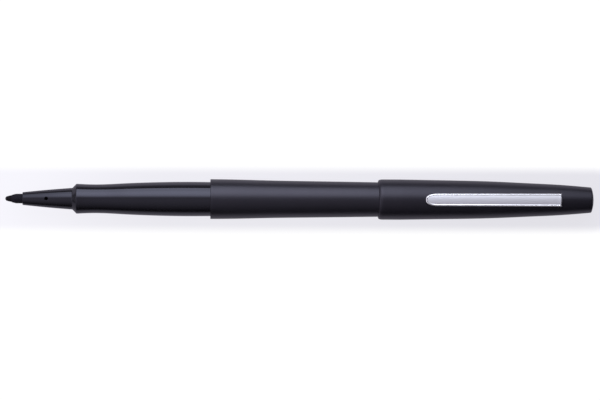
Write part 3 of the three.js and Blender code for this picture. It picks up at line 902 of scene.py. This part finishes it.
# Studio: a pale floor, long softboxes over the far side, a dim room that is palest overhead, and
# glowing cards on the floor that only show as reflections, where they paint the floor's reflection
roomShape = {
    "color": (0.92, 0.88, 1.0, 1), "ceiling": 0.6, "fadeDown": 1.45, "fadeRight": 3.4, "fadeFrom": 0.05,
    "least": 0.15, "leftLow": 0.36, "leftHigh": 1.8, "farWall": 0.13,
}


def makeRoom():
    # brightness of the room in the direction (x, y, z), with nothing taken below 0:
    # ceiling * z^fadeDown * (1 - fadeRight * (x - fadeFrom), between least and 1)
    # + (-x)^2 * (leftLow + leftHigh * z) + farWall * y^2
    r = roomShape
    world = bpy.data.worlds.new("room")
    bpy.context.scene.world = world
    world.use_nodes = True
    tree = world.node_tree
    direction = addSplit(tree, "ShaderNodeTexCoord", "Generated")
    up = addMath(tree, "MAXIMUM", direction["Z"], 0)
    ceiling = addMath(tree, "POWER", up, r["fadeDown"])
    ceiling = addMath(tree, "MULTIPLY", ceiling, r["ceiling"])
    fade = addMath(tree, "SUBTRACT", direction["X"], r["fadeFrom"])
    fade = addMath(tree, "MULTIPLY_ADD", fade, -r["fadeRight"], 1)
    fade = addMath(tree, "MINIMUM", fade, 1)
    fade = addMath(tree, "MAXIMUM", fade, r["least"])
    ceiling = addMath(tree, "MULTIPLY", ceiling, fade)
    left = addMath(tree, "MINIMUM", direction["X"], 0)
    left = addMath(tree, "MULTIPLY", left, left)
    high = addMath(tree, "MULTIPLY_ADD", up, r["leftHigh"], r["leftLow"])
    far = addMath(tree, "MAXIMUM", direction["Y"], 0)
    far = addMath(tree, "MULTIPLY", far, far)
    strength = addMath(tree, "MULTIPLY_ADD", left, high, ceiling)
    strength = addMath(tree, "MULTIPLY_ADD", far, r["farWall"], strength)
    background = tree.nodes["Background"]
    background.inputs["Color"].default_value = r["color"]
    tree.links.new(strength, background.inputs["Strength"])


# the softbox's brightness against the angle from straight up, towards +Y, and against x in mm
softbox = {
    "color": (0.85, 0.896, 1.0), "radiance": 3.55, "length": 0.8, "distance": 0.5,
    "shades": ((8, 0.04), (15, 0.22), (20, 0.57), (28, 0.8), (38, 1), (50, 1), (60, 0.85), (79, 0.8)),
    "alongShades": (
        (-400, 0.12), (-230, 0.35), (-175, 0.56), (-100, 1), (-20, 1), (65, 0.9), (120, 0.54), (190, 0.35),
        (400, 0.15),
    ),
}


# the clip's steel has a softbox of its own, dim low down and far to the left, or its face would mirror
# a light as white as the floor behind it when the pen is seen from the side
steelSoftbox = {
    **softbox, "radiance": 6.2,
    "shades": ((8, 0.05), (15, 0.19), (20, 0.5), (28, 0.85), (36, 1), (43, 0.6), (49, 0.04), (79, 0.01)),
    "alongShades": (
        (-400, 0.01), (-200, 0.03), (-80, 0.3), (0, 0.95), (80, 1), (110, 0.74), (150, 0.38), (200, 0.2),
        (400, 0.03),
    ),
}


def grey(shade):
    return shade, shade, shade, 1


def makeSoftbox(name, s, linkState):
    # the box spans the angles from straight up that its shades name, and the angle a is on its face at
    # tan(a - middle) / tan(half the span), from -1 to 1. The clip is the one object in the light's
    # collection: the light is for it alone with INCLUDE, and for all but it with EXCLUDE
    angles = np.radians([angle for angle, _ in s["shades"]])
    middle, halfSpan = (angles[0] + angles[-1]) / 2, (angles[-1] - angles[0]) / 2
    width = 2 * s["distance"] * math.tan(halfSpan)
    lamp = bpy.data.lights.new(name, "AREA")
    lamp.shape = "RECTANGLE"
    lamp.size = s["length"]
    lamp.size_y = width
    lamp.energy = s["radiance"] * math.pi * s["length"] * width
    lamp.color = s["color"]
    lamp.use_nodes = True
    tree = lamp.node_tree
    face = addSplit(tree, "ShaderNodeNewGeometry", "Parametric")
    places = 0.5 + 0.5 * np.tan(angles - middle) / math.tan(halfSpan)
    upwards = [(place, grey(shade)) for place, (_, shade) in zip(places, s["shades"])]
    lengthwise = [(0.5 + x * mm / s["length"], grey(shade)) for x, shade in s["alongShades"]]
    glow = tree.nodes["Emission"].inputs
    tree.links.new(addRamp(tree, face["Y"], upwards), glow["Color"])
    tree.links.new(addRamp(tree, face["X"], lengthwise), glow["Strength"])
    light = bpy.data.objects.new(name, lamp)
    direction = Vector((0, math.sin(middle), math.cos(middle)))
    light.location = Vector((0, 0, axisHeight)) + direction * s["distance"]
    light.rotation_euler = (-middle, 0, 0)
    light.visible_camera = False
    bpy.context.scene.collection.objects.link(light)
    linked = bpy.data.collections.new(name + "Linked")
    linked.objects.link(bpy.data.objects["clipStrip"])
    linked.collection_objects[0].light_linking.link_state = linkState
    light.light_linking.receiver_collection = linked


def plainCard(name, corners, material):
    mesh = bpy.data.meshes.new(name)
    mesh.from_pydata([tuple(c) for c in corners], [], [(0, 1, 2, 3)])
    mesh.materials.append(material)
    card = bpy.data.objects.new(name, mesh)
    bpy.context.scene.collection.objects.link(card)
    return card


# left, middle and right are the colours of the painted shade round the pen, darker towards the right
floorShape = {
    "reach": 30, "shown": 0.9, "glow": 1.08, "paintedShadeHalfLength": 0.08, "paintedShadeEdge": 0.0066, "fade": 0.0034,
    "left": (0.891, 0.884, 0.934, 1), "middle": (0.82, 0.813, 0.86, 1), "right": (0.757, 0.75, 0.795, 1),
    "middleAt": 0.3, "shadeHalfLength": 0.08, "roughness": 0.9, "specular": 0.1,
}


def makeFloor():
    # white, with a painted shade round the pen: a slightly greyer patch that is palest at its left end and
    # darker towards the right. The painted shade ends at a distance from the pen's line,
    # sqrt(y^2 + (what |x| has over its half length)^2)
    f = floorShape
    material, tree = newMaterial("paleFloor")
    shader = tree.nodes["Principled BSDF"]
    shader.inputs["Roughness"].default_value = f["roughness"]
    shader.inputs["Specular IOR Level"].default_value = f["specular"]
    place = addSplit(tree, "ShaderNodeTexCoord", "Object")
    span = addRange(tree, place["X"], -f["shadeHalfLength"], f["shadeHalfLength"])
    stops = [(0, f["left"]), (f["middleAt"], f["middle"]), (1, f["right"])]
    # patch is the painted shade's colour, from the pen's left end to its right
    patch = addRamp(tree, span, stops, "EASE")
    beyond = addMath(tree, "ABSOLUTE", place["X"])
    beyond = addMath(tree, "SUBTRACT", beyond, f["paintedShadeHalfLength"])
    beyond = addMath(tree, "MAXIMUM", beyond, 0)
    beyond = addMath(tree, "MULTIPLY", beyond, beyond)
    distance = addMath(tree, "MULTIPLY_ADD", place["Y"], place["Y"], beyond)
    distance = addMath(tree, "SQRT", distance)
    paintedShadeEnd = f["paintedShadeEdge"] + f["fade"]
    away = addRange(tree, distance, f["paintedShadeEdge"], paintedShadeEnd, "SMOOTHSTEP")
    color = addMix(tree, "RGBA", away, patch, grey(1))
    tree.links.new(color.outputs["Result"], shader.inputs["Base Color"])
    glow = tree.nodes.new("ShaderNodeEmission")
    glow.inputs["Strength"].default_value = f["glow"]
    tree.links.new(color.outputs["Result"], glow.inputs["Color"])
    path = tree.nodes.new("ShaderNodeLightPath")
    seen = addMath(tree, "ADD", path.outputs["Is Camera Ray"], path.outputs["Is Glossy Ray"])
    seen = addMath(tree, "ADD", seen, path.outputs["Is Transmission Ray"])
    seen = addMath(tree, "MINIMUM", seen, 1)
    amount = addMath(tree, "MULTIPLY", seen, f["shown"])
    blend = tree.nodes.new("ShaderNodeMixShader")
    tree.links.new(amount, blend.inputs["Fac"])
    tree.links.new(shader.outputs["BSDF"], blend.inputs[1])
    tree.links.new(glow.outputs["Emission"], blend.inputs[2])
    tree.links.new(blend.outputs["Shader"], tree.nodes["Material Output"].inputs["Surface"])
    far = f["reach"]
    plainCard("floor", [(-far, -far, 0), (far, -far, 0), (far, far, 0), (-far, far, 0)], material)


# how bright the glowing cards are, against the distance from the pen's line in mm, + on the softbox's
# side; these bands are the painted reflection that the pen's sides mirror
cardShape = {
    "color": (0.9, 0.86, 1.0), "halfLength": 1.5, "halfWidth": 1.5, "height": 0.6,
    "shades": (
        (-130, 0.03), (-90, 0.07), (-50, 0.2), (-34, 0.38), (-24, 0.56), (-14, 0.56), (-6, 0.42),
        (8, 0.52), (13, 0.74), (18, 0.88), (24, 0.66), (32, 0.44), (50, 0.28), (130, 0.25),
    ),
}


def makePaintedReflectionCards():
    c = cardShape
    material, tree = newMaterial("paintedReflectionCards")
    place = addSplit(tree, "ShaderNodeTexCoord", "Object")
    first, last = c["shades"][0][0], c["shades"][-1][0]
    span = addRange(tree, place["Y"], first * mm, last * mm)
    stops = [
        ((y - first) / (last - first), tuple(shade * part for part in c["color"]) + (1,))
        for y, shade in c["shades"]
    ]
    # the cards glow with no lamp on them: their brightness is a painted reflection
    glow = tree.nodes.new("ShaderNodeEmission")
    tree.links.new(addRamp(tree, span, stops), glow.inputs["Color"])
    tree.links.new(glow.outputs["Emission"], tree.nodes["Material Output"].inputs["Surface"])
    x, y, z = c["halfLength"], c["halfWidth"], c["height"] * mm
    card = plainCard("paintedReflectionCards", [(-x, -y, z), (x, -y, z), (x, y, z), (-x, y, z)], material)
    for ray in ("camera", "diffuse", "shadow", "transmission", "volume_scatter"):
        setattr(card, "visible_" + ray, False)


makeRoom()
makeSoftbox("softbox", softbox, "EXCLUDE")
makeSoftbox("steelSoftbox", steelSoftbox, "INCLUDE")
makeFloor()
makePaintedReflectionCards()
print("studio set up")


# Camera: overhead, a little to the left of the middle, as the picture shows the cap's rim
cameraShape = {
    "distance": 0.8, "tilt": 2.2, "roll": 0.159, "target": (-0.0001, -0.00018),
    "sensor": 36, "pictureWidth": 600, "mmPerPixel": 0.27,
}


def makeCamera():
    s = cameraShape
    data = bpy.data.cameras.new("overhead")
    data.sensor_width = s["sensor"]
    data.lens = s["sensor"] * s["distance"] / (s["pictureWidth"] * s["mmPerPixel"] * mm)
    camera = bpy.data.objects.new("overhead", data)
    bpy.context.scene.collection.objects.link(camera)
    target = Matrix.Translation((*s["target"], axisHeight))
    tilt = Matrix.Rotation(-math.radians(s["tilt"]), 4, "Y")
    roll = Matrix.Rotation(math.radians(s["roll"]), 4, "Z")
    camera.matrix_world = target @ tilt @ roll @ Matrix.Translation((0, 0, s["distance"]))
    bpy.context.scene.camera = camera


makeCamera()
bpy.context.scene.view_settings.view_transform = "Standard"
